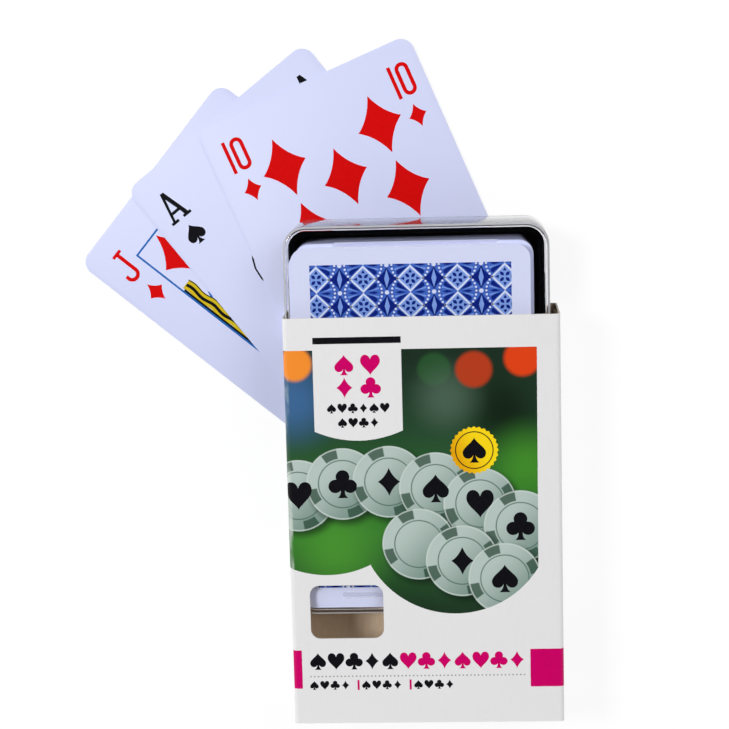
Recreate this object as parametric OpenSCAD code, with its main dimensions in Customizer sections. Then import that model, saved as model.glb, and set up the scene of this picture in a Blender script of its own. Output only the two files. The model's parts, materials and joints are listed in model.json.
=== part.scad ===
// A deck of playing cards in a two-piece plastic case, half drawn from a cardboard sleeve.
// X runs across the sleeve, Y along it towards the mouth that the case comes out of, and Z up.
// The origin lies on the table, under the middle of the sleeve's mouth. All sizes are in millimetres.

/* [Cards] */
// Width of a card
card_w = 58; // [52:0.5:66]
// Length of a card
card_l = 89; // [80:0.5:100]
// Thickness of a card
card_t = 0.28; // [0.24:0.01:0.34]
// Radius of a card's corners
card_r = 3.5; // [2.5:0.1:5]
// Air between one card and the next
air = 0.02; // [0.01:0.01:0.04]

/* [Deck in the case] */
// Gap between the deck and the left wall of the base
deck_gap_left = 0.1; // [0.08:0.01:0.3]
// Gap between the deck and the right wall of the base
deck_gap_right = 1.3; // [0.5:0.1:2]
// Gap between the deck and the top end wall of the base
deck_gap_top = 2.2; // [0.8:0.1:3]
// Gap between the deck and the bottom end wall of the base
deck_gap_bottom = 0.6; // [0.4:0.1:3]
// Cards that stand above the wall of the base and have slipped over it
proud_cards = 8; // [4:1:14]
// Gap between the top card and the left wall of the lid
slip_gap_left = 0.75; // [0.7:0.05:1.2]
// Gap between the top card and the bottom end wall of the lid
slip_gap_bottom = 1.5; // [1.4:0.05:2.1]
// How much further left the slipped cards under the top card have gone
slip_more_left = 0.5; // [0:0.05:0.55]
// How much further towards the bottom end the slipped cards under the top card have gone
slip_more_bottom = 1.3; // [0:0.05:1.4]
// How far the cards of the deck stray sideways from a square stack
stray_x = 0.05; // [0:0.01:0.06]
// How far the cards of the deck stray lengthways from a square stack
stray_y = 0.15; // [0:0.05:0.3]

/* [Case] */
// Thickness of the floor of the base
base_floor = 1.2; // [0.8:0.1:2]
// Thickness of the wall of the base
base_wall = 1.4; // [0.9:0.1:2]
// Gap between the rim of the base and the cards above it
rim_gap = 0.12; // [0.05:0.01:0.3]
// How much tighter the inside corner of the base is than a card's corner
corner_relief = 0.45; // [0.2:0.05:1]
// Length of the bumps on the long walls of the base that grip the lid
bump_l = 12; // [6:0.5:20]
// Height of the bumps
bump_h = 1.2; // [0.8:0.1:2]
// Height of the bumps' lower edge above the underside of the base
bump_z = 3; // [1:0.5:8]
// Distance from the middle of the base to the middle of a bump
bump_y = 28; // [16:0.5:34]
// Gap between the wall of the base and the wall of the lid
lid_gap = 0.15; // [0.05:0.05:0.3]
// Thickness of the walls of the lid
lid_wall = 0.9; // [0.7:0.1:1.5]
// Thickness of the front of the lid
lid_front = 1.2; // [0.8:0.1:2]
// Room between the top card and the front of the lid
deck_room = 0.5; // [0.4:0.05:1]
// Length of the two ribs inside the front of the lid
rib_l = 40; // [20:1:48]
// Width of the ribs
rib_w = 1.3; // [0.8:0.1:2]
// Height of the ribs
rib_h = 0.3; // [0.1:0.05:0.35]
// Distance from the lid's end to the middle of a rib
rib_end = 4.7; // [3:0.1:8]

/* [Sleeve] */
// Length of the sleeve
sleeve_l = 102.5; // [98:0.5:120]
// Thickness of the board
board_t = 0.45; // [0.3:0.05:0.7]
// Outer radius of the folds
fold_r = 1.2; // [0.9:0.1:1.6]
// Gap between the case and the left panel
side_gap_left = 0.28; // [0.15:0.01:1]
// Gap between the case and the glued seam inside the right panel
side_gap_right = 1.53; // [0.3:0.01:3]
// Gap between the case and the back panel
back_gap = 0.25; // [0.1:0.05:0.6]
// Gap between the case and the front panel
front_gap = 0.3; // [0.1:0.05:0.6]
// Height of the glued seam inside the right panel
seam_h = 14; // [8:0.5:16]
// How far the seam stops short of each end of the sleeve
seam_inset = 1.5; // [0.5:0.5:5]
// How far the case stands out of the sleeve's mouth
pull = 22.2; // [5:0.1:60]

/* [Window] */
// Width of the window in the front panel
window_w = 18.2; // [8:0.1:30]
// Height of the window
window_l = 13.6; // [8:0.1:20]
// Radius of the window's corners
window_r = 2.4; // [1:0.1:3.5]
// Distance from the sleeve's left side to the window
window_left = 4.8; // [2:0.1:30]
// Distance from the sleeve's lower end to the window
window_low = 22; // [5:0.1:60]

/* [Fan] */
// Place of the fan's grip point across the sleeve
fan_x = -5.5; // [-10:0.1:5]
// Place of the fan's grip point along the sleeve
fan_y = -26.5; // [-40:0.1:-10]
// Turn of the jack about the grip point, in degrees
jack_turn = 50.4; // [30:0.1:70]
// Turn of the ace about the grip point, in degrees
ace_turn = 37.8; // [20:0.1:60]
// Turn of the ten about the grip point, in degrees
ten_turn = 22.8; // [5:0.1:40]
// Distance from the jack's left edge to the grip point
jack_grip_side = 21.7; // [10:0.1:40]
// Distance from the jack's lower edge to the grip point
jack_grip_end = 2.3; // [1:0.1:20]
// Distance from the ace's left edge to the grip point
ace_grip_side = 19; // [10:0.1:40]
// Distance from the ace's lower edge to the grip point
ace_grip_end = 2.4; // [1:0.1:20]
// Distance from the ten's left edge to the grip point
ten_grip_side = 18.5; // [10:0.1:40]
// Distance from the ten's lower edge to the grip point
ten_grip_end = 3.9; // [1:0.1:20]

/* [Hidden] */
$fn = 48;

// Names of the cards: the full pack, the loose cards from the lowest up, and the rest
suits = ["clubs", "diamonds", "hearts", "spades"];
ranks = ["ace", "two", "three", "four", "five", "six", "seven", "eight", "nine", "ten", "jack", "queen", "king"];
pack = concat([for (s = suits) for (r = ranks) str(r, "_of_", s)], ["black_joker", "red_joker"]);
loose = ["jack_of_diamonds", "ace_of_spades", "ten_of_diamonds"];
stack = [for (c = pack) if (len([for (n = loose) if (n == c) n]) == 0) c];

// Turn, and grip point from the left and the lower edge, of each loose card
fan = [
    [jack_turn, jack_grip_side, jack_grip_end],
    [ace_turn, ace_grip_side, ace_grip_end],
    [ten_turn, ten_grip_side, ten_grip_end]
];

// Heights, from the table up
pitch = card_t + air;
sleeve_z = len(loose) * pitch;
base_z = sleeve_z + board_t + back_gap;
floor_z = base_z + base_floor;
deck_z = floor_z + air;
level_cards = len(stack) - proud_cards;
rim_z = deck_z + level_cards * pitch - rim_gap;
deck_top = deck_z + len(stack) * pitch - air;
lid_inside_z = deck_top + deck_room;
lid_top = lid_inside_z + lid_front;
sleeve_top = lid_top + front_gap + board_t;

// Outlines, from the deck outwards
well_w = card_w + deck_gap_left + deck_gap_right;
well_l = card_l + deck_gap_top + deck_gap_bottom;
well_r = card_r - corner_relief;
base_w = well_w + 2 * base_wall;
base_l = well_l + 2 * base_wall;
lid_inside_w = base_w + 2 * lid_gap;
lid_inside_l = base_l + 2 * lid_gap;
case_w = lid_inside_w + 2 * lid_wall;
case_l = lid_inside_l + 2 * lid_wall;
base_r = well_r + base_wall;
lid_inside_r = base_r + lid_gap;
case_r = lid_inside_r + lid_wall;
sleeve_w = case_w + side_gap_left + side_gap_right + 3 * board_t;
sleeve_h = sleeve_top - sleeve_z;

// Middle of the case, and of the deck where it lies square in the base
case_x = -sleeve_w / 2 + board_t + side_gap_left + case_w / 2;
case_y = pull - case_l / 2;
deck_x = case_x + (deck_gap_left - deck_gap_right) / 2;
deck_y = case_y + (deck_gap_bottom - deck_gap_top) / 2;

// How far the top card has slipped, to the left and towards the bottom end
slip_x = deck_gap_left + base_wall + lid_gap - slip_gap_left;
slip_y = deck_gap_bottom + base_wall + lid_gap - slip_gap_bottom;

// Share of the slip that a card of the stack has taken, none for the cards inside the base
function slipped(i) = i < level_cards ? 0 : sqrt((i - level_cards + 1) / proud_cards);

// What the cards under the top card add to its slip
function more(i, length) = i < len(stack) - 1 ? length : 0;

// A card's stray from a square stack, between -1 and 1, by the golden angle so that neighbours differ
function stray(i) = sin(137.5 * i);

module rounded(w, l, r) {
    square([w - 2 * r, l], center = true);
    square([w, l - 2 * r], center = true);
    for (x = [-1, 1], y = [-1, 1])
        translate([x * (w / 2 - r), y * (l / 2 - r)]) circle(r);
}

module plate(w, l, r, t) {
    linear_extrude(t) rounded(w, l, r);
}

module card() {
    plate(card_w, card_l, card_r, card_t);
}

// Wrap of board round the case, as a tube along Y
module wrap() {
    translate([0, 0, sleeve_z + sleeve_h / 2]) rotate([90, 0, 0]) linear_extrude(sleeve_l) difference() {
        rounded(sleeve_w, sleeve_h, fold_r);
        rounded(sleeve_w - 2 * board_t, sleeve_h - 2 * board_t, fold_r - board_t);
    }
}

// Flap of the back panel, glued inside the right panel
module seam() {
    translate([sleeve_w / 2 - 2 * board_t, -sleeve_l + seam_inset, sleeve_z + board_t / 2])
        cube([1.5 * board_t, sleeve_l - 2 * seam_inset, seam_h]);
}

module sleeve() {
    window_x = -sleeve_w / 2 + window_left + window_w / 2;
    window_y = -sleeve_l + window_low + window_l / 2;
    color("white") difference() {
        union() {
            wrap();
            seam();
        }
        translate([window_x, window_y, sleeve_top - 2 * board_t])
            plate(window_w, window_l, window_r, 3 * board_t);
    }
}

module case_base() {
    bump_t = lid_gap + base_wall / 2;
    bump_x = lid_inside_w / 2 - bump_t / 2;
    color("black") translate([case_x, case_y, base_z]) {
        difference() {
            plate(base_w, base_l, base_r, rim_z - base_z);
            translate([0, 0, base_floor]) plate(well_w, well_l, well_r, rim_z - base_z);
        }
        for (x = [-1, 1], y = [-1, 1]) translate([x * bump_x, y * bump_y, bump_z + bump_h / 2])
            cube([bump_t, bump_l, bump_h], center = true);
    }
}

module case_lid() {
    inside_h = lid_inside_z - base_z;
    color("lightcyan", 0.3) translate([case_x, case_y, base_z]) {
        difference() {
            plate(case_w, case_l, case_r, inside_h + lid_front);
            translate([0, 0, -1]) plate(lid_inside_w, lid_inside_l, lid_inside_r, inside_h + 1);
        }
        for (end = [-1, 1])
            translate([-rib_l / 2, end * (case_l / 2 - rib_end) - rib_w / 2, inside_h - rib_h])
                cube([rib_l, rib_w, rib_h + lid_front / 2]);
    }
}

module stacked_card(i) {
    x = deck_x - (slip_x + more(i, slip_more_left)) * slipped(i) + stray_x * stray(i);
    y = deck_y - (slip_y + more(i, slip_more_bottom)) * slipped(i) + stray_y * stray(i + len(stack));
    color("lavender") translate([x, y, deck_z + i * pitch]) card();
}

module loose_card(i) {
    turn = fan[i][0];
    grip = [fan[i][1], fan[i][2]];
    color("lavender") translate([fan_x, fan_y, i * pitch]) rotate(turn)
        translate([card_w / 2 - grip.x, card_l / 2 - grip.y]) card();
}

sleeve();
case_base();
case_lid();
for (i = [0 : len(stack) - 1]) stacked_card(i);
for (i = [0 : len(loose) - 1]) loose_card(i);
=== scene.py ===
# A deck of playing cards in a plastic case, partly drawn from a printed cardboard sleeve, with three
# cards fanned out behind it. Pieces are drawn in millimetres and brought down to metres at the end.
import json
import math

import bmesh
import bpy
from mathutils import Matrix, Vector

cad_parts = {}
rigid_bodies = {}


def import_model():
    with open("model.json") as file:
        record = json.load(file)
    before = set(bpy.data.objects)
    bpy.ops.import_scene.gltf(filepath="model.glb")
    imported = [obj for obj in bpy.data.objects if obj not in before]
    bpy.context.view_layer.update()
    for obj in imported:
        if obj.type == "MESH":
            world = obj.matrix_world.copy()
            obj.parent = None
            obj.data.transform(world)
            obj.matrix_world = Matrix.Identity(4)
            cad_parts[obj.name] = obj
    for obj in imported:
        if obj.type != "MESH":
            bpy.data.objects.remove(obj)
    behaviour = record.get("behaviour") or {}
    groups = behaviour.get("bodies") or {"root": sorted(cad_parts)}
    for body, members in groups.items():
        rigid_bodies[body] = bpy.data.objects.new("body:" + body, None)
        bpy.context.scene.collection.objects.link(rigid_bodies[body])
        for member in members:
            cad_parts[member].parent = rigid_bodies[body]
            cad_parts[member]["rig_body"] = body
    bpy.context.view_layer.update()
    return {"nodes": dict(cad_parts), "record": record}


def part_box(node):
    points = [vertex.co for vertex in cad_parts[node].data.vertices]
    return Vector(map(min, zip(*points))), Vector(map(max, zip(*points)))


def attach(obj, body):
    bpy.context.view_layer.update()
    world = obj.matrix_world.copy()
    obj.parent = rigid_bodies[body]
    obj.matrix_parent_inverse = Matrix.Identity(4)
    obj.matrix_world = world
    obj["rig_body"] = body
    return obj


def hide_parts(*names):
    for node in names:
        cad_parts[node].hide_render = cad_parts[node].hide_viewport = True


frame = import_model()
nodes = frame["nodes"]

MM = 0.001


# Shader arithmetic

class Number:
    """A shader socket that can be reckoned with like a number."""

    def __init__(self, paint, socket):
        self.paint = paint
        self.socket = socket

    def work(self, operation, first, second=0.0):
        return self.paint.number("ShaderNodeMath", {"operation": operation}, {0: first, 1: second})

    def __add__(self, other):
        return self.work("ADD", self, other)

    def __radd__(self, other):
        return self.work("ADD", other, self)

    def __sub__(self, other):
        return self.work("SUBTRACT", self, other)

    def __rsub__(self, other):
        return self.work("SUBTRACT", other, self)

    def __mul__(self, other):
        return self.work("MULTIPLY", self, other)

    def __rmul__(self, other):
        return self.work("MULTIPLY", other, self)

    def __truediv__(self, other):
        return self.work("DIVIDE", self, other)

    def __rtruediv__(self, other):
        return self.work("DIVIDE", other, self)

    def __abs__(self):
        return self.work("ABSOLUTE", self)

    def root(self):
        return self.work("SQRT", self)

    def sine(self):
        return self.work("SINE", self)

    def bearing(self, across):
        return self.work("ARCTAN2", self, across)


class Nodes:
    """The shader nodes of a material or of the world."""

    def __init__(self, tree):
        self.tree = tree
        self.tree.nodes.clear()

    def add(self, kind, settings=None, sockets=None):
        node = self.tree.nodes.new(kind)
        for name, value in (settings or {}).items():
            if name == "stops":
                fill_ramp(node.color_ramp, value)
            else:
                setattr(node, name, value)
        for name, value in (sockets or {}).items():
            self.feed(node.inputs[name], value)
        return node

    def feed(self, socket, value):
        if isinstance(value, Number):
            value = value.socket
        if isinstance(value, bpy.types.NodeSocket):
            self.tree.links.new(value, socket)
        else:
            socket.default_value = value

    def number(self, kind, settings=None, sockets=None, output=0):
        return Number(self, self.add(kind, settings, sockets).outputs[output])


class Paint(Nodes):
    """A material with one Principled shader and the nodes that feed it."""

    def __init__(self, name):
        self.material = bpy.data.materials.new(name)
        self.material.use_nodes = True
        super().__init__(self.material.node_tree)
        self.shader = self.add("ShaderNodeBsdfPrincipled")
        self.output = self.add("ShaderNodeOutputMaterial", {}, {"Surface": self.shader.outputs[0]})
        self.coords = self.add("ShaderNodeTexCoord").outputs["Object"]

    def set(self, **sockets):
        for name, value in sockets.items():
            socket = name.replace("_", " ").title().replace("Ior", "IOR")
            self.feed(self.shader.inputs[socket], value)

    def mix(self, share, first, second):
        node = self.add("ShaderNodeMix", {"data_type": "RGBA"}, {0: share, 6: first, 7: second})
        return node.outputs[2]

    def ramp(self, share, stops):
        return self.add("ShaderNodeValToRGB", {"stops": stops}, {0: share}).outputs[0]

    def step(self, value, low, high):
        settings = {"interpolation_type": "SMOOTHSTEP"}
        sockets = {"Value": value, "From Min": low, "From Max": high}
        return self.number("ShaderNodeMapRange", settings, sockets)

    def millimetres(self, centre=(0, 0, 0), turn=0.0):
        settings = {"vector_type": "TEXTURE"}
        sockets = {"Vector": self.coords, "Location": [c * MM for c in centre],
                   "Rotation": (0, 0, turn), "Scale": (MM, MM, MM)}
        mapped = self.add("ShaderNodeMapping", settings, sockets).outputs[0]
        apart = self.add("ShaderNodeSeparateXYZ", {}, {0: mapped})
        return [Number(self, socket) for socket in apart.outputs]

    def noise(self, per_metre, detail=2.0, stretch=(1, 1, 1)):
        mapped = self.add("ShaderNodeMapping", {}, {"Vector": self.coords, "Scale": stretch}).outputs[0]
        sockets = {"Vector": mapped, "Scale": per_metre, "Detail": detail}
        return self.number("ShaderNodeTexNoise", {}, sockets)

    def pass_light(self):
        """Lets lamp light and scattered light straight through, to what lies behind clear plastic."""
        rays = self.add("ShaderNodeLightPath")
        lamp = Number(self, rays.outputs["Is Shadow Ray"])
        scattered = Number(self, rays.outputs["Is Diffuse Ray"])
        straight = self.add("ShaderNodeBsdfTransparent", {}, {"Color": (1, 1, 1, 1)})
        share = lamp.work("MAXIMUM", lamp, scattered)
        sockets = {0: share, 1: self.shader.outputs[0], 2: straight.outputs[0]}
        mixed = self.add("ShaderNodeMixShader", {}, sockets)
        self.feed(self.output.inputs["Surface"], mixed.outputs[0])

    def bump(self, height, depth):
        sockets = {"Height": height, "Strength": 1.0, "Distance": depth * MM}
        self.feed(self.shader.inputs["Normal"], self.add("ShaderNodeBump", {}, sockets).outputs[0])


def fill_ramp(ramp, stops):
    while len(ramp.elements) < len(stops):
        ramp.elements.new(1.0)
    for element, (position, colour) in zip(ramp.elements, stops):
        element.position = position
        element.color = colour


def rgb(red, green, blue):
    """A colour as it shows on screen, from 0 to 255, for a shader."""
    linear = []
    for value in (red, green, blue):
        value = value / 255
        linear.append(value / 12.92 if value <= 0.04045 else ((value + 0.055) / 1.055) ** 2.4)
    return (*linear, 1.0)


# Materials

def card_stock(name, first, second):
    """Smooth plastic card in a cool white, which varies a little where two tones are given."""
    paint = Paint(name)
    paint.set(base_color=rgb(*first), roughness=0.46, specular_ior_level=0.3)
    if second:
        tone = paint.noise(22, 1.0)
        paint.set(base_color=paint.mix(tone, rgb(*first), rgb(*second)))
    paint.bump(paint.noise(2600, 3.0), 0.004)
    return paint.material


def ink(name, colour, deeper, gloss=0.32):
    """Printed ink, a little uneven in depth."""
    paint = Paint(name)
    tone = paint.noise(900, 3.0)
    paint.set(base_color=paint.mix(tone, rgb(*colour), rgb(*deeper)))
    paint.set(roughness=gloss, specular_ior_level=0.14)
    return paint.material


def gold_foil():
    """The badge's gold, deeper on its left side: a painted sheen across the foil."""
    paint = Paint("gold_foil")
    across, along = paint.millimetres((*BADGE, 0))[:2]
    # Painted sheen: the gold turns deeper towards the left and lower side.
    tone = paint.step(across * 0.8 + along * 0.4, -5.5, 2.5) * 0.8 + paint.noise(500, 3.0) * 0.3
    paint.set(base_color=paint.mix(tone, rgb(226, 152, 4), rgb(255, 222, 26)))
    paint.set(roughness=0.3, specular_ior_level=0.2)
    return paint.material


def white_board():
    paint = Paint("white_board")
    cloud = paint.noise(26, 2.0)
    fibre = paint.noise(1500, 4.0, (1, 0.25, 1))
    tone = cloud * 0.6 + fibre * 0.4
    paint.set(base_color=paint.mix(tone, rgb(231, 230, 231), rgb(241, 240, 241)))
    paint.set(roughness=0.3 + fibre * 0.14, ior=1.48)
    paint.bump(fibre * 0.4 + cloud * 0.6, 0.02)
    return paint.material


def raw_board():
    paint = Paint("raw_board")
    cloud = paint.noise(60, 2.0)
    fibre = paint.noise(1100, 5.0, (1, 0.3, 1))
    tone = cloud * 0.5 + fibre * 0.5
    paint.set(base_color=paint.mix(tone, rgb(188, 162, 134), rgb(230, 210, 184)))
    paint.set(roughness=0.8)
    paint.bump(fibre, 0.03)
    return paint.material


def cut_board():
    paint = Paint("cut_board")
    fibre = paint.noise(2600, 4.0)
    paint.set(base_color=paint.mix(fibre, rgb(176, 168, 158), rgb(222, 218, 212)), roughness=0.85)
    paint.bump(fibre, 0.02)
    return paint.material


def black_plastic():
    paint = Paint("black_plastic")
    grain = paint.noise(1800, 3.0)
    smear = paint.noise(90, 2.0)
    paint.set(base_color=paint.mix(smear, rgb(1, 1, 2), rgb(6, 6, 8)))
    paint.set(roughness=0.13 + smear * 0.06, specular_ior_level=0.08)
    paint.bump(grain, 0.004)
    return paint.material


def clear_plastic(name, clearness, shine, tint, gleam=0.3):
    """Clear moulded plastic with fine scuffs, cloudier where it is given less clearness."""
    paint = Paint(name)
    scuff = paint.noise(700, 3.0, (1, 0.15, 1))
    paint.set(base_color=rgb(*tint), transmission_weight=clearness, ior=1.46)
    paint.set(specular_ior_level=gleam)
    paint.set(roughness=shine + paint.step(scuff, 0.62, 0.8) * 0.05)
    paint.pass_light()
    return paint.material


def chip(paint, ground, across, along, x, y, radius):
    """A pale gaming chip in the picture, with dark spots round its edge and a soft shadow."""
    right = across - x
    up = along - y
    reach = (right * right + up * up).root()
    low_right = right - 0.9
    low_up = up + 1.0
    shade = (low_right * low_right + low_up * low_up).root()
    ground = paint.mix(paint.step(shade, radius + 1.6, radius - 1.2) * 0.75, ground, rgb(8, 26, 14))
    slope = paint.step(right - up, -radius, radius * 1.4)
    face = paint.mix(slope, rgb(186, 202, 196), rgb(124, 150, 140))
    rim = paint.step(reach, radius * 0.70, radius * 0.73)
    spots = paint.step((up.bearing(right) * 4.0).sine(), 0.52, 0.64)
    face = paint.mix(rim * spots * 0.85, face, rgb(38, 76, 56))
    line = paint.step(abs(reach - radius * 0.66), 0.22, 0.08)
    face = paint.mix(line * 0.8, face, rgb(70, 104, 92))
    edge = paint.step(abs(reach - radius + 0.22), 0.24, 0.1)
    face = paint.mix(edge * 0.7, face, rgb(206, 218, 212))
    return paint.mix(paint.step(reach, radius + 0.1, radius - 0.1), ground, face)


def glow(paint, ground, across, along, x, y, radius, soft, colour, strength):
    """A soft round light in the picture."""
    right = across - x
    up = along - y
    reach = (right * right + up * up).root()
    return paint.mix(paint.step(reach, radius + soft, radius - soft) * strength, ground, colour)


def picture_print():
    """The sleeve's picture: chips on a green table with soft lights behind."""
    paint = Paint("picture_print")
    x, y, z = paint.millimetres()
    across = x + (z - SLEEVE_FRONT)
    depth = paint.step(y, -76.0, -8.0)
    stops = [(0.0, rgb(12, 40, 14)), (0.25, rgb(52, 128, 34)), (0.5, rgb(40, 106, 34)),
             (0.8, rgb(26, 66, 32)), (1.0, rgb(12, 30, 14))]
    ground = paint.ramp(depth, stops)
    cloud = paint.noise(70, 2.0)
    ground = paint.mix(cloud * 0.5, ground, rgb(52, 84, 66))
    for place in LIGHTS:
        ground = glow(paint, ground, across, y, *place)
    for place in CHIPS:
        ground = chip(paint, ground, across, y, *place[:2], CHIP_RADIUS)
    # A pale, patchy band along the left fold: partly wear, partly a painted highlight on the fold's
    # curve.
    wear_and_highlight = paint.step(paint.noise(260, 4.0, (1, 0.35, 1)), 0.42, 0.7)
    fold = paint.step(abs(x + FLAT_SIDE + 0.55), 0.75, 0.25) * wear_and_highlight
    ground = paint.mix(fold * 0.8, ground, rgb(206, 216, 206))
    paint.set(base_color=ground, roughness=0.3, ior=1.48)
    paint.bump(paint.noise(1500, 3.0), 0.004)
    return paint.material


# Modelling by hand

def take(piece):
    """Makes a piece the only one in hand."""
    bpy.ops.object.select_all(action="DESELECT")
    piece.select_set(True)
    bpy.context.view_layer.objects.active = piece


def settle(piece):
    """Moves a piece's place, turn and scale into its mesh."""
    take(piece)
    bpy.ops.object.transform_apply(location=True, rotation=True, scale=True)


def finish(piece, body):
    """Brings a piece down to metres, and lets it ride on its body."""
    piece.scale = (MM, MM, MM)
    settle(piece)
    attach(piece, body)
    return piece


def pick_edges(wanted):
    mesh = bmesh.from_edit_mesh(bpy.context.object.data)
    bpy.ops.mesh.select_all(action="DESELECT")
    bpy.ops.mesh.select_mode(type="EDGE")
    for edge in mesh.edges:
        edge.select_set(wanted(edge.verts[0].co, edge.verts[1].co))
    bmesh.update_edit_mesh(bpy.context.object.data)


def pick_faces(wanted):
    mesh = bmesh.from_edit_mesh(bpy.context.object.data)
    bpy.ops.mesh.select_all(action="DESELECT")
    bpy.ops.mesh.select_mode(type="FACE")
    for face in mesh.faces:
        face.select_set(wanted(face.calc_center_median(), face.normal))
    bmesh.update_edit_mesh(bpy.context.object.data)


def block(name, low, high):
    """A plain block between two corners, to be shaped. It is left in edit mode."""
    bpy.ops.object.select_all(action="DESELECT")
    middle = [(a + b) / 2 for a, b in zip(low, high)]
    bpy.ops.mesh.primitive_cube_add(size=1, location=middle)
    piece = bpy.context.object
    piece.name = name
    piece.scale = [b - a for a, b in zip(low, high)]
    settle(piece)
    bpy.ops.object.mode_set(mode="EDIT")
    return piece


def slab(name, low, high, corner, steps):
    """A slab whose four upright corners are rounded. It is left in edit mode."""
    piece = block(name, low, high)
    pick_edges(lambda a, b: abs(a.z - b.z) > 0.5 * abs(high[2] - low[2]))
    bpy.ops.mesh.bevel(offset=corner, segments=steps, affect="EDGES", clamp_overlap=False)
    return piece


def ease_level_edges(height, offset, segments, within=1e-4):
    """Rounds the edges that lie flat at one height."""
    pick_edges(lambda a, b: abs(a.z - height) < within and abs(b.z - height) < within)
    bpy.ops.mesh.bevel(offset=offset, segments=segments, affect="EDGES", clamp_overlap=True)


def cut_with(piece, tool, operation):
    """Cuts or joins a piece with a tool solid, and removes the tool."""
    take(piece)
    change = piece.modifiers.new(operation, "BOOLEAN")
    change.operation = operation
    change.solver = "EXACT"
    change.object = tool
    bpy.ops.object.modifier_apply(modifier=change.name)
    bpy.data.objects.remove(tool)


def smooth(piece, degrees=40):
    take(piece)
    bpy.ops.object.shade_smooth_by_angle(angle=math.radians(degrees))


# Printed shapes, as outlines in millimetres

def arc(x, y, radius, start, end, steps):
    turns = [math.radians(start + (end - start) * i / steps) for i in range(steps + 1)]
    return [(x + radius * math.cos(t), y + radius * math.sin(t)) for t in turns]


def bow(points, steps):
    """A Bezier curve through two end points, pulled by the points between them."""
    line = []
    for i in range(steps + 1):
        share = i / steps
        level = list(points)
        while len(level) > 1:
            level = [(a[0] + (b[0] - a[0]) * share, a[1] + (b[1] - a[1]) * share)
                     for a, b in zip(level, level[1:])]
        line.append(level[0])
    return line


def both_sides(half):
    """A closed outline from its right half, given from the lower middle up to the upper middle."""
    return half + [(-x, y) for x, y in reversed(half) if abs(x) > 1e-6]


def diamond_shape(width=0.78):
    half = bow([(0, -0.5), (0.33 * width / 2, -0.165), (width / 2, 0)], 8)[:-1]
    return both_sides(half + bow([(width / 2, 0), (0.33 * width / 2, 0.165), (0, 0.5)], 8))


def heart_shape():
    side = bow([(0, -0.5), (0.08, -0.30), (0.48, -0.08), (0.48, 0.20)], 10)[:-1]
    return both_sides(side + bow([(0.48, 0.20), (0.48, 0.56), (0.08, 0.60), (0, 0.26)], 10))


def spade_shape():
    foot = [(0, -0.5)] + bow([(0.20, -0.5), (0.07, -0.42), (0.045, -0.20)], 5)
    lobe = bow([(0.045, -0.20), (0.14, -0.42), (0.46, -0.38), (0.46, -0.10)], 9)[1:-1]
    return both_sides(foot + lobe + bow([(0.46, -0.10), (0.46, 0.10), (0.08, 0.30), (0, 0.5)], 10))


def club_shape():
    foot = [(0, -0.5)] + bow([(0.19, -0.5), (0.07, -0.42), (0.07, -0.235)], 5)
    side = arc(0.26, -0.08, 0.24, -140, 98, 16)
    return both_sides(foot + side + arc(0, 0.26, 0.24, -20, 90, 8))


SUITS = {
    "spade": spade_shape(),
    "heart": heart_shape(),
    "club": club_shape(),
    "diamond": diamond_shape(),
}


def placed(outline, x=0.0, y=0.0, size=1.0, turn=0.0):
    c = math.cos(math.radians(turn)) * size
    s = math.sin(math.radians(turn)) * size
    return [(x + px * c - py * s, y + px * s + py * c) for px, py in outline]


def upside_down(outlines):
    return [[(-x, -y) for x, y in outline] for outline in outlines]


def bar(x0, y0, x1, y1):
    return [(x0, y0), (x1, y0), (x1, y1), (x0, y1)]


def rounded_bar(x0, y0, x1, y1, radius, steps=6):
    outline = []
    corners = [(x1, y0, -90), (x1, y1, 0), (x0, y1, 90), (x0, y0, 180)]
    for x, y, start in corners:
        middle_x = x - radius if x == x1 else x + radius
        middle_y = y - radius if y == y1 else y + radius
        outline += arc(middle_x, middle_y, radius, start, start + 90, steps)
    return outline


def index_ten(x, y):
    one = bar(-2.6, -4.2, -1.7, 4.2)
    zero = rounded_bar(-0.85, -4.2, 2.65, 4.2, 1.7)
    hollow = rounded_bar(0.1, -3.25, 1.7, 3.25, 0.78)
    return [placed(shape, x, y) for shape in (one, zero, hollow)]


def index_ace(x, y):
    letter = [(-0.6, 4.4), (-2.5, -3.45), (-3.15, -3.45), (-3.15, -4.2), (-0.85, -4.2),
              (-0.85, -3.45), (-1.75, -3.45), (-1.38, -1.95), (1.0, -1.95), (1.35, -3.45), (0.7, -3.45),
              (0.7, -4.2), (3.25, -4.2), (3.25, -3.45), (2.6, -3.45), (0.45, 4.4)]
    hollow = [(-1.2, -1.15), (-0.26, 2.5), (0.8, -1.15)]
    return [placed(letter, x, y), placed(hollow, x, y)]


def index_jack(x, y):
    hook = arc(-0.55, -2.25, 1.95, 0, -180, 12)
    inner = arc(-0.55, -2.25, 1.0, -180, 0, 10)
    letter = [(-0.5, 3.4), (-0.5, 4.2), (2.35, 4.2), (2.35, 3.4), (1.4, 3.4)] + hook
    letter += [(-2.5, -1.55), (-1.55, -1.55)] + inner + [(0.45, 3.4)]
    return [placed(letter, x, y)]


def ink_sheet(name, outlines, material, height=0.0):
    """A flat print, filled inside its outlines."""
    data = bpy.data.curves.new(name, "CURVE")
    data.dimensions = "2D"
    data.fill_mode = "FRONT"
    for outline in outlines:
        spline = data.splines.new("POLY")
        spline.points.add(len(outline) - 1)
        for point, (x, y) in zip(spline.points, outline):
            point.co = (x, y, 0, 1)
        spline.use_cyclic_u = True
    sheet = bpy.data.objects.new(name, data)
    bpy.context.collection.objects.link(sheet)
    take(sheet)
    bpy.ops.object.convert(target="MESH")
    sheet = bpy.context.object
    bpy.ops.object.mode_set(mode="EDIT")
    pick_faces(lambda middle, normal: normal.z < 0)
    bpy.ops.mesh.flip_normals()
    bpy.ops.object.mode_set(mode="OBJECT")
    sheet.data.materials.clear()
    sheet.data.materials.append(material)
    sheet.location = (0, 0, height)
    settle(sheet)
    return sheet


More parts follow.
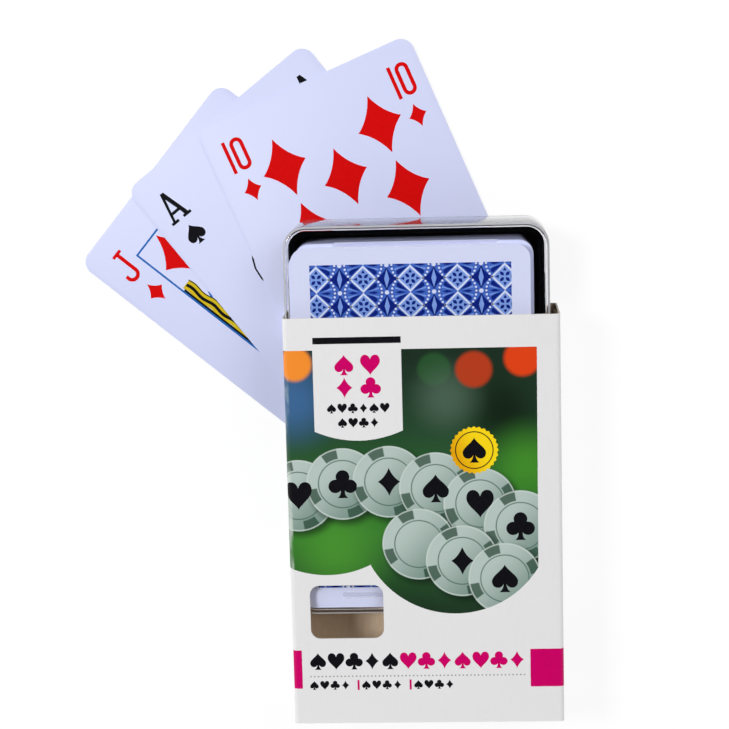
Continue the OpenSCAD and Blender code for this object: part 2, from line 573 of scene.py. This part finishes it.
def joined(name, sheets):
    """One piece from several prints."""
    bpy.ops.object.select_all(action="DESELECT")
    for sheet in sheets:
        sheet.select_set(True)
    bpy.context.view_layer.objects.active = sheets[0]
    bpy.ops.object.join()
    piece = bpy.context.object
    piece.name = name
    return piece


def put(piece, x, y, z, turn=0.0):
    piece.location = (x, y, z)
    piece.rotation_euler = (0, 0, math.radians(turn))
    settle(piece)


# Sizes in millimetres, read from the frame or set here

def box_mm(node):
    low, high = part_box(node)
    return [v / MM for v in low], [v / MM for v in high]


sleeve_low, sleeve_high = box_mm("sleeve")
base_low, base_high = box_mm("case_base")
lid_low, lid_high = box_mm("case_lid")
top_low, top_high = box_mm("red_joker")

# Sleeve. Its board stands a little inside the frame's solid, which leaves room for the ink on it
INK_ROOM = 0.05
INK_STEP = 0.01
BOARD = 0.40
FOLD = 1.15
FLAP_INSET = 1.5
FLAP_DEEP = 14
WINDOW_LOW = (-28.93, -80.5)
WINDOW_HIGH = (-10.73, -66.9)
WINDOW_CORNER = 2.4
SLEEVE_SIDE = sleeve_high[0] - INK_ROOM
SLEEVE_FRONT = sleeve_high[2] - INK_ROOM
SLEEVE_BACK = sleeve_low[2] + INK_ROOM
SLEEVE_END = sleeve_low[1]
SLEEVE_MOUTH = sleeve_high[1]
FLAT_SIDE = SLEEVE_SIDE - FOLD
FOLD_LENGTH = FOLD * math.pi / 2
SIDE_DEPTH = SLEEVE_FRONT - SLEEVE_BACK - 2 * FOLD

# Case
BASE_WALL = 1.4
BASE_FLOOR = 1.2
BASE_CORNER = 4.45
BUMP_STAND = 0.15
BUMP_ROOT = 0.4
BUMP_HALF = 6
BUMP_LOW = 3
BUMP_HIGH = 4.2
BUMP_OUT = 28
LID_WALL = 0.9
LID_DEEP = 17.0
LID_CORNER = 5.5
RIB_END = 4.7
RIB_HALF_LONG = 20
RIB_HALF_WIDE = 0.65
RIB_LOW = 18.30
RIB_ROOT = 19.2

# Loose cards. The plastic stands a little inside the frame's solid, which leaves room for the ink on it
CARD_SIDE = 29
CARD_END = 44.5
CARD_THICK = 0.25
CARD_CORNER = 3.5
CARD_ROOM = 0.014
CARD_EASE = 0.04
CARD_INK_STEP = 0.002

# How far the ten's face is printed off the middle of the card
TEN_OFF_CENTRE = 0.68

# Places on the sleeve's front
PICTURE_TOP = -7.9
PICTURE_RIGHT = 27.9
LABEL_LEFT = -26.5
LABEL_RIGHT = -4.9
LABEL_LOW = -28.0
BADGE = (12.4, -33.2)

# The picture's chips: place and pip
CHIP_RADIUS = 9.0
CHIPS = [
    (-42.0, -47.5, None),
    (-31.0, -44.0, "heart"),
    (-20.0, -41.2, "club"),
    (-8.6, -40.8, "diamond"),
    (2.8, -42.6, "spade"),
    (13.6, -46.6, "heart"),
    (23.4, -52.4, "club"),
    (-1.6, -56.6, None),
    (9.0, -61.0, "diamond"),
    (19.4, -65.6, "spade"),
]

# The picture's soft lights: place, radius, softness, colour and strength
LIGHTS = [
    (-31.5, -20.0, 8.0, 7.0, rgb(62, 108, 160), 0.85),
    (-31.0, -11.2, 4.2, 0.7, rgb(250, 146, 44), 1.0),
    (-44.0, -14.0, 5.5, 1.0, rgb(66, 122, 70), 0.8),
    (20.0, -24.0, 8.0, 8.0, rgb(8, 28, 10), 0.9),
    (3.0, -13.0, 4.0, 0.7, rgb(38, 88, 44), 0.8),
    (6.0, -20.0, 6.0, 5.5, rgb(92, 118, 100), 0.55),
    (12.6, -13.2, 4.4, 0.7, rgb(188, 60, 24), 0.95),
    (24.4, -10.6, 4.4, 0.7, rgb(228, 66, 16), 1.0),
    (25.0, -37.0, 7.0, 6.5, rgb(70, 150, 40), 0.8),
    (-22.0, -58.0, 9.0, 8.5, rgb(76, 156, 46), 0.75),
]

# The studio's light: round the sides, overhead, and between which heights one fades into the other
SIDE_LIGHT = 0.75
OVERHEAD_LIGHT = 0.01
FADE_LOW = 0.35
FADE_HIGH = 0.95

# The floor's own glow, and its share of what is seen of the floor
FLOOR_GLOW = 1.04
FLOOR_SHARE = 0.85

# The camera's focal length and the picture's width in pixels, and the sensor's width in millimetres
FOCAL_LENGTH = 2000
PICTURE_WIDTH = 729
SENSOR_WIDTH = 36

# Finishes
loose_stock = card_stock("loose_card_stock", (209, 214, 250), (220, 225, 254))
proud_stock = card_stock("proud_card_stock", (224, 229, 255), None)
# A darker copy of the card stock for the cards inside the base: painted shade on their edges.
painted_shade_stock = card_stock("painted_shade_card_stock", (150, 154, 182), None)
board_white = white_board()
board_raw = raw_board()
board_cut = cut_board()
plastic_black = black_plastic()
clear_front = clear_plastic("clear_front", 1.0, 0.01, (252, 252, 255))
clear_wall = clear_plastic("clear_wall", 0.96, 0.03, (252, 252, 255), 0.1)
# The lid's rounded edges: cloudier, whiter plastic that paints their highlight.
cloudy_highlight_edge = clear_plastic("cloudy_highlight_edge", 0.54, 0.1, (238, 239, 246))
# The ribs are tinted grey: painted shade that makes them read as a darker band.
clear_rib = clear_plastic("clear_rib", 0.94, 0.32, (206, 207, 220))
picture = picture_print()
ink_red = ink("red_ink", (228, 10, 10), (214, 4, 6))
ink_black = ink("black_ink", (10, 10, 14), (22, 22, 28))
ink_blue = ink("blue_ink", (44, 116, 196), (34, 98, 180))
ink_yellow = ink("yellow_ink", (226, 200, 40), (206, 176, 24))
ink_magenta = ink("magenta_ink", (214, 2, 106), (200, 0, 98))
foil_gold = gold_foil()
ink_grey = ink("grey_ink", (140, 138, 142), (160, 158, 160))
ink_navy = ink("navy_ink", (14, 40, 138), (6, 26, 112))
ink_mid_blue = ink("mid_blue_ink", (78, 116, 206), (58, 96, 190))
ink_light_blue = ink("light_blue_ink", (142, 174, 240), (116, 152, 228))
ink_pale = ink("pale_ink", (228, 236, 254), (214, 224, 250))


# The cardboard sleeve

def make_sleeve():
    """The folded board, open at both ends, with its window and the glued flap inside."""
    low = (-SLEEVE_SIDE, SLEEVE_END, SLEEVE_BACK)
    high = (SLEEVE_SIDE, SLEEVE_MOUTH, SLEEVE_FRONT)
    sleeve = block("sleeve_board", low, high)
    pick_faces(lambda middle, normal: abs(normal.y) > 0.9)
    bpy.ops.mesh.delete(type="FACE")
    pick_edges(lambda a, b: abs(a.y - b.y) > 50)
    bpy.ops.mesh.bevel(offset=FOLD, segments=8, affect="EDGES", clamp_overlap=False)
    bpy.ops.object.mode_set(mode="OBJECT")
    for material in (board_white, board_raw, board_cut):
        sleeve.data.materials.append(material)
    wall = sleeve.modifiers.new("board", "SOLIDIFY")
    wall.thickness = BOARD
    wall.offset = -1
    wall.use_even_offset = True
    wall.material_offset = 1
    wall.material_offset_rim = 2
    bpy.ops.object.modifier_apply(modifier=wall.name)
    window_low = (*WINDOW_LOW, SLEEVE_FRONT - 2 * BOARD)
    window_high = (*WINDOW_HIGH, SLEEVE_FRONT + BOARD)
    window = slab("window", window_low, window_high, WINDOW_CORNER, 8)
    bpy.ops.object.mode_set(mode="OBJECT")
    for material in (board_white, board_raw, board_cut):
        window.data.materials.append(material)
    for face in window.data.polygons:
        face.material_index = 2
    cut_with(sleeve, window, "DIFFERENCE")
    foot = SLEEVE_BACK + BOARD / 2
    flap_low = (SLEEVE_SIDE - 2 * BOARD, SLEEVE_END + FLAP_INSET, foot)
    flap_high = (SLEEVE_SIDE - BOARD - 0.01, SLEEVE_MOUTH - FLAP_INSET, foot + FLAP_DEEP)
    flap = slab("flap", flap_low, flap_high, 0.1, 2)
    ease_level_edges(flap_high[2], 0.12, 2)
    bpy.ops.object.mode_set(mode="OBJECT")
    flap.data.materials.append(board_raw)
    sleeve = joined("sleeve_board", [sleeve, flap])
    smooth(sleeve)
    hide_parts("sleeve")
    return finish(sleeve, "sleeve")


def fold_round(sheet, height):
    """Lays a flat print on the sleeve's front and round its side folds, a height above the board."""
    lines = [FLAT_SIDE + FOLD_LENGTH * i / 6 for i in range(7)]
    take(sheet)
    bpy.ops.object.mode_set(mode="EDIT")
    for x in lines + [-x for x in lines]:
        bpy.ops.mesh.select_all(action="SELECT")
        bpy.ops.mesh.bisect(plane_co=(x, 0, 0), plane_no=(1, 0, 0), threshold=1e-5)
    bpy.ops.object.mode_set(mode="OBJECT")
    for vertex in sheet.data.vertices:
        side = math.copysign(1.0, vertex.co.x)
        past = abs(vertex.co.x) - FLAT_SIDE
        turn = min(max(past, 0.0), FOLD_LENGTH) / FOLD
        down = max(past - FOLD_LENGTH, 0.0)
        reach = FOLD + height
        if past > 0:
            vertex.co.x = side * (FLAT_SIDE + reach * math.sin(turn))
        vertex.co.z = SLEEVE_FRONT - FOLD + reach * math.cos(turn) - down
    smooth(sheet)


def sleeve_print(name, outlines, material, layer):
    sheet = ink_sheet(name, outlines, material)
    fold_round(sheet, INK_STEP * layer)
    return finish(sheet, "sleeve")


def make_picture():
    """The picture, notched for the label, with a lower edge of two bows. It goes over the left fold."""
    far = -(FLAT_SIDE + FOLD_LENGTH + SIDE_DEPTH)
    dip = ((LABEL_LEFT + LABEL_RIGHT) / 2, LABEL_LOW - 4.8)
    label = [(LABEL_LEFT, PICTURE_TOP)]
    label += bow([(LABEL_LEFT, LABEL_LOW), dip, (LABEL_RIGHT, LABEL_LOW)], 14)
    label += [(LABEL_RIGHT, PICTURE_TOP)]
    big_bow = arc(7.3, -50.7, 23.7, -30.9, -152.0, 36)
    left_bow = arc(-24.3, -40.2, 24.0, -63.2, -113.5, 18)
    outline = [(far, PICTURE_TOP)] + label + [(PICTURE_RIGHT, PICTURE_TOP)] + big_bow + left_bow
    outline += bow([left_bow[-1], (-42.0, -58.2), (far, -57.0)], 8)[1:]
    sleeve_print("sleeve_picture", [outline], picture, 1)


def pip_row(count, x, y, step, size):
    """A row of pips, suit after suit, from its left end."""
    suits = list(SUITS.values())
    return [placed(suits[i % 4], x + step * i, y, size) for i in range(count)]


def make_sleeve_prints():
    """The label's bar and pips, the rows of pips below the picture, and the bars at the folds."""
    label_places = [(-18.9, -11.6), (-12.5, -11.6), (-12.5, -17.2), (-18.9, -17.2)]
    magenta = [placed(suit, x, y, 5.0) for suit, (x, y) in zip(SUITS.values(), label_places)]
    black = [bar(-26.4, -6.37, -4.95, -4.77)]
    black += pip_row(6, -22.2, -22.3, 2.6, 2.4)
    black += pip_row(4, -19.6, -25.9, 2.6, 2.4)
    wide_row = pip_row(12, -27.4, -86.4, 4.5, 4.3)
    black += wide_row[:5]
    magenta += wide_row[5:]
    for x in (-28.5, -15.5, -2.5):
        black += pip_row(4, x, -92.6, 2.6, 2.3)
    magenta += [bar(-17.7, -93.9, -17.2, -91.3), bar(-4.7, -93.9, -4.2, -91.3)]
    magenta += [bar(-33.75, -93.4, -31.4, -83.5), bar(25.4, -93.4, 33.9 + SIDE_DEPTH, -83.7)]
    dots = [arc(-29.3 + 0.95 * i, -90.3, 0.2, 0, 315, 7) for i in range(57)]
    chips = [placed(SUITS[suit], x, y, 7.0) for x, y, suit in CHIPS if suit]
    sleeve_print("sleeve_black_print", black, ink_black, 2)
    sleeve_print("sleeve_magenta_print", magenta, ink_magenta, 2)
    sleeve_print("sleeve_dots", dots, ink_grey, 2)
    sleeve_print("chip_pips", chips, ink_black, 2)


def make_badge():
    """The gold badge with a toothed edge, a thin ring and a spade."""
    teeth = 28
    x, y = BADGE
    edge = []
    for i in range(teeth * 4):
        turn = 2 * math.pi * i / (teeth * 4)
        reach = 5.75 + 0.2 * math.cos(teeth * turn)
        edge.append((x + reach * math.cos(turn), y + reach * math.sin(turn)))
    sleeve_print("badge", [edge], foil_gold, 2)
    ring = [arc(x, y, radius, 0, 354, 59) for radius in (4.7, 4.45)]
    sleeve_print("badge_marks", ring + [placed(SUITS["spade"], x, y, 6.2)], ink_black, 3)


# The plastic case

def make_base():
    """The black tray, with four small bumps on its long walls that grip the lid."""
    floor = base_low[2] + BASE_FLOOR
    low = (base_low[0] + BUMP_STAND, base_low[1], base_low[2])
    high = (base_high[0] - BUMP_STAND, base_high[1], base_high[2])
    base = slab("case_base_shell", low, high, BASE_CORNER, 12)
    pick_faces(lambda middle, normal: normal.z > 0.9)
    bpy.ops.mesh.inset(thickness=BASE_WALL, use_even_offset=True)
    bpy.ops.mesh.extrude_region_move(TRANSFORM_OT_translate={"value": (0, 0, floor - high[2])})
    ease_level_edges(high[2], 0.12, 2)
    ease_level_edges(low[2], 0.25, 2)
    bpy.ops.object.mode_set(mode="OBJECT")
    middle_y = (low[1] + high[1]) / 2
    for ends in ((base_low[0], low[0] + BUMP_ROOT), (high[0] - BUMP_ROOT, base_high[0])):
        for y in (middle_y - BUMP_OUT, middle_y + BUMP_OUT):
            bump_low = (ends[0], y - BUMP_HALF, base_low[2] + BUMP_LOW)
            bump_high = (ends[1], y + BUMP_HALF, base_low[2] + BUMP_HIGH)
            bump = slab("bump", bump_low, bump_high, 0.1, 2)
            bpy.ops.object.mode_set(mode="OBJECT")
            cut_with(base, bump, "UNION")
    base.data.materials.append(plastic_black)
    smooth(base)
    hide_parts("case_base")
    return finish(base, "case")


def make_lid():
    """The clear cover, with two ribs inside its front. Its rounded edges are cloudier and whiter, which
    paints a highlight along them.
    """
    lid = slab("case_lid_shell", lid_low, lid_high, LID_CORNER, 12)
    ease_level_edges(lid_high[2], 0.8, 4)
    pick_faces(lambda middle, normal: normal.z < -0.9)
    bpy.ops.mesh.inset(thickness=LID_WALL, use_even_offset=True)
    bpy.ops.mesh.extrude_region_move(TRANSFORM_OT_translate={"value": (0, 0, LID_DEEP)})
    ease_level_edges(lid_low[2] + LID_DEEP, 0.4, 3)
    bpy.ops.object.mode_set(mode="OBJECT")
    middle_x = (lid_low[0] + lid_high[0]) / 2
    for y in (lid_low[1] + RIB_END, lid_high[1] - RIB_END):
        low = (middle_x - RIB_HALF_LONG, y - RIB_HALF_WIDE, RIB_LOW)
        high = (middle_x + RIB_HALF_LONG, y + RIB_HALF_WIDE, RIB_ROOT)
        rib = slab("rib", low, high, 0.6, 5)
        ease_level_edges(RIB_LOW, 0.12, 2)
        bpy.ops.object.mode_set(mode="OBJECT")
        cut_with(lid, rib, "UNION")
    for material in (clear_front, clear_wall, cloudy_highlight_edge, clear_rib):
        lid.data.materials.append(material)
    for face in lid.data.polygons:
        slope = abs(face.normal.z)
        face.material_index = 1 if slope < 0.2 else 2 if slope < 0.95 else 0
        if abs(face.center.z - RIB_LOW) < 0.01:
            face.material_index = 3
    smooth(lid)
    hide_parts("case_lid")
    return finish(lid, "case")


# Card backs: a lattice of lozenges, fans and spindles

LATTICE_WIDE = 11.4
LATTICE_HIGH = 80.1 / 12
BACK_SIDE = 24.4
BACK_END = 40.3


def lozenge(inset):
    """A cell's lozenge, drawn in from its corners."""
    half = LATTICE_HIGH / 2
    return [(3.4 - inset, 0), (0, half - inset), (inset - 3.4, 0), (0, inset - half)]


def lozenge_marks():
    """Dark leaves and points that ring the middle of a lozenge."""
    leaf = bow([(0.3, 0), (1.0, 0.85), (1.7, 0)], 3) + bow([(1.7, 0), (1.0, -0.85), (0.3, 0)], 3)[1:-1]
    marks = [placed(leaf, 0, 0, 1.0, turn) for turn in (45, 135, 225, 315)]
    for turn, reach in ((0, 1.55), (90, 1.5), (180, 1.55), (270, 1.5)):
        point = [(reach - 0.1, 0.46), (reach - 0.1, -0.46), (reach + 0.8, 0)]
        marks.append(placed(point, 0, 0, 1.0, turn))
    return marks


def fan_petals():
    """Dark petals that spread to both sides from the point where two lozenges meet."""
    wide = [(0.7, 0), (2.7, 0.62), (3.65, 0.56), (3.95, 0.0), (3.65, -0.5), (2.7, -0.3)]
    slim = [(1.0, 0), (2.6, 0.34), (3.7, 0.0), (2.6, -0.34)]
    petals = []
    for side in (0, 180):
        petals.append(placed(wide, 0, LATTICE_HIGH / 2, 1.0, side - 33))
        petals.append(placed(slim, 0, LATTICE_HIGH / 2, 1.0, side))
        petals.append(placed([(x, -y) for x, y in reversed(wide)], 0, LATTICE_HIGH / 2, 1.0, side + 33))
    return petals


def fan_rays():
    """Pale rays between the petals."""
    ray = [(1.3, 0), (3.9, 0.2), (3.9, -0.2)]
    turns = [side + turn for side in (0, 180) for turn in (-16, 16)]
    return [placed(ray, 0, LATTICE_HIGH / 2, 1.0, turn) for turn in turns]


def back_shapes():
    """The shapes of one cell of the lattice, about its lozenge, from the lowest ink to the highest."""
    half = LATTICE_HIGH / 2
    aside = LATTICE_WIDE / 2
    spindle = bow([(0, -2.95), (0.7, -1.1), (2.75, 0)], 5)[:-1]
    spindle += bow([(2.75, 0), (0.7, 1.1), (0, 2.95)], 5)
    ties = [bar(aside + x - 0.3, half - 0.42, aside + x + 0.3, half + 0.42) for x in (-1.15, 1.15)]
    streak = [(aside, -2.3), (aside + 0.62, 0), (aside, 2.3), (aside - 0.62, 0)]
    beads = [arc(aside, half, 0.55, 0, 315, 7)]
    for side in (0, 180):
        for turn in (-47, -35.5, -24, -12, 0, 12, 24, 35.5, 47):
            middle = placed([(4.5, 0)], 0, half, 1.0, side + turn)[0]
            beads.append(arc(*middle, 0.3, 0, 300, 5))
    dark = lozenge_marks() + fan_petals() + [placed(both_sides(spindle), aside, 0)] + ties
    return [([lozenge(0.5)], ink_light_blue), (dark, ink_navy), ([streak] + fan_rays(), ink_light_blue),
            ([lozenge(0.0), lozenge(0.62)], ink_pale), (beads, ink_pale)]


def spread(sheet, columns, rows):
    """Repeats one cell of the lattice over the card, and trims it to the printed field."""
    take(sheet)
    for count, step in ((columns, (LATTICE_WIDE, 0, 0)), (rows, (0, LATTICE_HIGH, 0))):
        repeat = sheet.modifiers.new("repeat", "ARRAY")
        repeat.count = count
        repeat.use_relative_offset = False
        repeat.use_constant_offset = True
        repeat.constant_offset_displace = step
        bpy.ops.object.modifier_apply(modifier=repeat.name)
    sheet.location.x = -LATTICE_WIDE * (columns - 1) / 2
    sheet.location.y = -LATTICE_HIGH * (rows - 1) / 2
    settle(sheet)
    bpy.ops.object.mode_set(mode="EDIT")
    for x, y in ((BACK_SIDE, 0), (-BACK_SIDE, 0), (0, BACK_END), (0, -BACK_END)):
        bpy.ops.mesh.select_all(action="SELECT")
        normal = (x, y, 0)
        bpy.ops.mesh.bisect(plane_co=(x, y, 0), plane_no=normal, clear_outer=True, threshold=1e-5)
    bpy.ops.object.mode_set(mode="OBJECT")


def make_back_print():
    """The print of a card's back, face up about the origin."""
    field = bar(-BACK_SIDE, -BACK_END, BACK_SIDE, BACK_END)
    sheets = [ink_sheet("ground", [field], ink_mid_blue, 0.0015)]
    for number, (shapes, material) in enumerate(back_shapes()):
        sheet = ink_sheet("back_ink", shapes, material, 0.0032 + 0.0017 * number)
        spread(sheet, 7, 14)
        sheets.append(sheet)
    return joined("back_print", sheets)


# The loose cards

def fan_turn(name):
    """A loose card's turn at rest: its hinge goes back by as much, to where the card lies straight."""
    joint = [j for j in frame["record"]["behaviour"]["joints"] if j["name"] == name][0]
    return -joint["range_deg"][0]


def make_loose_card(rank, node, body, face_inks, back):
    """One loose card: its plastic, the print of its face and the print of its back."""
    low, high = box_mm(node)
    centre = [(a + b) / 2 for a, b in zip(low, high)]
    turn = fan_turn(rank + "_fan")
    card_low = (-CARD_SIDE, -CARD_END, 0)
    card_high = (CARD_SIDE, CARD_END, CARD_THICK)
    card = slab(rank + "_card", card_low, card_high, CARD_CORNER, 10)
    ease_level_edges(CARD_THICK, CARD_EASE, 2)
    ease_level_edges(0.0, CARD_EASE, 2)
    bpy.ops.object.mode_set(mode="OBJECT")
    card.data.materials.append(loose_stock)
    smooth(card)
    put(card, centre[0], centre[1], low[2] + CARD_ROOM, turn)
    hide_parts(node)
    finish(card, body)
    sheets = []
    for number, (outlines, material) in enumerate(face_inks):
        sheets.append(ink_sheet(rank + "_ink", outlines, material, CARD_INK_STEP * (number + 1)))
    face = joined(rank + "_face_print", sheets)
    put(face, centre[0], centre[1], low[2] + CARD_ROOM + CARD_THICK, turn)
    finish(face, body)
    under = back.copy()
    under.data = back.data.copy()
    under.name = rank + "_back_print"
    bpy.context.collection.objects.link(under)
    under.rotation_euler = (math.pi, 0, 0)
    settle(under)
    put(under, centre[0], centre[1], low[2] + CARD_ROOM, turn)
    finish(under, body)


def both_ends(outlines):
    return outlines + upside_down(outlines)


def ten_inks():
    red = []
    for x in (-22.55, 22.55):
        red += both_ends(index_ten(x, 34.9))
        red += both_ends([placed(diamond_shape(), x, 25.5, 6.0)])
    for x in (-13.0, 13.0):
        for y in (27.25, 10.0):
            red += both_ends([placed(diamond_shape(0.76), x, y, 15.2)])
    red += both_ends([placed(diamond_shape(0.76), 0, 18.95, 15.2)])
    return [([placed(shape, TEN_OFF_CENTRE) for shape in red], ink_red)]


def ace_inks():
    black = []
    for x, y in ((-22.45, 34.2), (22.8, 35.0)):
        black += both_ends([placed(shape, x, y, 0.95) for shape in index_ace(0, 0)])
        black += both_ends([placed(spade_shape(), x * 0.99, y - 8.8, 5.4)])
    for size in (35.2, 34.3, 32.8):
        black.append(placed(spade_shape(), -0.53, 2.63, size, 180))
    return [(black, ink_black)]


def wavy_band(left, right, low, high, waves, swing):
    """An upright band with waved sides."""
    steps = 40
    side = []
    for i in range(steps + 1):
        share = i / steps
        shift = swing * math.sin(2 * math.pi * waves * share)
        side.append((shift, low + (high - low) * share))
    return [(left + x, y) for x, y in side] + [(right + x, y) for x, y in reversed(side)]


def jack_inks():
    """The jack's inks. Inside its frame are wavy bands, small leaves and nested diamonds."""
    red = []
    for x in (-22.2, 22.2):
        red += both_ends(index_jack(x, 34.9))
        red += both_ends([placed(diamond_shape(), x * 1.013, 25.15, 5.95)])
    red += both_ends([placed(diamond_shape(0.74), -11.2, 26.5, 14.8)])
    frame_line = [bar(-18.45, -34.75, 18.45, 34.75), bar(-17.95, -34.25, 17.95, 34.25)]
    yellow = both_ends([wavy_band(-17.6, -14.9, -24.0, 20.4, 6.5, 0.25)])
    black = both_ends([bar(-17.97, -24.0, -17.45, 19.8)])
    for left, width, top in ((-16.75, 0.8, 20.2), (-15.2, 0.28, 20.5)):
        black += both_ends([wavy_band(left, left + width, -24.0, top, 6.5, 0.25)])
    leaf = bow([(0, 0), (0.7, 1.2), (0, 3.4)], 5) + bow([(0, 3.4), (-0.7, 1.2), (0, 0)], 5)[1:-1]
    for y in (3.0, 5.5, 8.0, 10.5):
        yellow += both_ends([placed(leaf, -15.0, y, 0.9, -24)])
    blue = both_ends([placed(leaf, -14.9, 12.8, 0.7, -16)])
    for size in (22, 17):
        blue.append(placed(diamond_shape(0.8), 0, 0, size))
    yellow.append(placed(diamond_shape(0.8), 0, 0, 12))
    for y, size in ((17.0, 8.0), (24.0, 5.6), (29.0, 4.0)):
        for part in (1.0, 0.7):
            blue += both_ends([placed(diamond_shape(0.8), 0, y, size * part)])
        yellow += both_ends([placed(diamond_shape(0.8), 0, y, size * 0.42)])
    for turn in (-68, -46, 46, 68):
        yellow += both_ends([placed(leaf, 0.07 * turn, 9.0 - abs(turn) / 14, 1.8, -turn)])
    return [(red, ink_red), (frame_line, ink_blue), (yellow, ink_yellow), (blue, ink_blue),
            (black, ink_black)]


make_sleeve()
make_picture()
make_sleeve_prints()
make_badge()
make_base()
make_lid()

# The deck keeps the frame's own cards. Those that lie inside the base show only their edges, and get a
# darker stock that paints their shade.
for name, card in nodes.items():
    if card.get("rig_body") == "deck":
        inside = box_mm(name)[1][2] < base_high[2]
        card.data.materials.clear()
        card.data.materials.append(painted_shade_stock if inside else proud_stock)

back_print = make_back_print()
make_loose_card("jack", "jack_of_diamonds", "loose_jack", jack_inks(), back_print)
make_loose_card("ace", "ace_of_spades", "loose_ace", ace_inks(), back_print)
make_loose_card("ten", "ten_of_diamonds", "loose_ten", ten_inks(), back_print)
back_print.name = "top_card_back_print"
put(back_print, (top_low[0] + top_high[0]) / 2, (top_low[1] + top_high[1]) / 2, top_high[2], 0)
finish(back_print, "deck")


# Floor, light and camera

def make_floor():
    """A white floor. It glows where it is seen, which keeps it white, and takes faint shadows."""
    bpy.ops.object.select_all(action="DESELECT")
    bpy.ops.mesh.primitive_plane_add(size=4.0, location=(0, 0, -0.00003))
    floor = bpy.context.object
    floor.name = "floor"
    settle(floor)
    paint = Paint("floor_paint")
    paint.set(base_color=rgb(244, 244, 246), roughness=0.9)
    seen = paint.add("ShaderNodeLightPath")
    camera = Number(paint, seen.outputs["Is Camera Ray"])
    glossy = Number(paint, seen.outputs["Is Glossy Ray"])
    through = Number(paint, seen.outputs["Is Transmission Ray"])
    shown = camera.work("MAXIMUM", camera, glossy.work("MAXIMUM", glossy, through))
    light = paint.add("ShaderNodeEmission", {}, {"Color": (1, 1, 1, 1), "Strength": FLOOR_GLOW})
    sockets = {0: shown * FLOOR_SHARE, 1: paint.shader.outputs[0], 2: light.outputs[0]}
    mixed = paint.add("ShaderNodeMixShader", {}, sockets)
    paint.feed(paint.output.inputs["Surface"], mixed.outputs[0])
    floor.data.materials.append(paint.material)


def make_world():
    """A studio bright round the sides and dim overhead, so that flat faces mirror no bright ceiling."""
    world = bpy.data.worlds.new("studio")
    bpy.context.scene.world = world
    world.use_nodes = True
    studio = Nodes(world.node_tree)
    way = studio.add("ShaderNodeTexCoord").outputs["Generated"]
    apart = studio.add("ShaderNodeSeparateXYZ", {}, {0: way})
    sockets = {"Value": apart.outputs["Z"], "From Min": FADE_LOW, "From Max": FADE_HIGH,
               "To Min": SIDE_LIGHT, "To Max": OVERHEAD_LIGHT}
    strength = studio.number("ShaderNodeMapRange", {}, sockets)
    sky = studio.add("ShaderNodeBackground", {}, {"Color": (1, 1, 1, 1), "Strength": strength})
    studio.add("ShaderNodeOutputWorld", {}, {"Surface": sky.outputs[0]})


def make_lamp(name, place, aim, size, power):
    data = bpy.data.lights.new(name, "AREA")
    data.shape = "DISK"
    data.size = size
    data.energy = power
    lamp = bpy.data.objects.new(name, data)
    bpy.context.collection.objects.link(lamp)
    lamp.location = place
    lamp.rotation_euler = (Vector(place) - Vector(aim)).to_track_quat("Z", "Y").to_euler()


def make_camera():
    """The camera, placed so that the cards and the sleeve lie as in the photograph."""
    data = bpy.data.cameras.new("camera")
    data.sensor_width = SENSOR_WIDTH
    data.lens = FOCAL_LENGTH / PICTURE_WIDTH * SENSOR_WIDTH
    data.clip_start = 0.01
    camera = bpy.data.objects.new("camera", data)
    bpy.context.collection.objects.link(camera)
    right = (0.99855, -0.02608, -0.04704)
    up = (0.01795, 0.98601, -0.16574)
    back = (0.05071, 0.16465, 0.98505)
    place = (0.01077, 0.06842, 0.49887)
    rows = [[right[i], up[i], back[i], place[i]] for i in range(3)]
    camera.matrix_world = Matrix(rows + [[0, 0, 0, 1]])
    bpy.context.scene.camera = camera


make_floor()
make_world()
make_lamp("key", (-1.10, 0.46, 1.66), (0, -0.02, 0), 0.58, 23.0)
make_lamp("fill", (0.90, 0.60, 1.30), (0, -0.02, 0), 1.0, 6.0)
make_camera()
bpy.context.scene.view_settings.view_transform = "Standard"
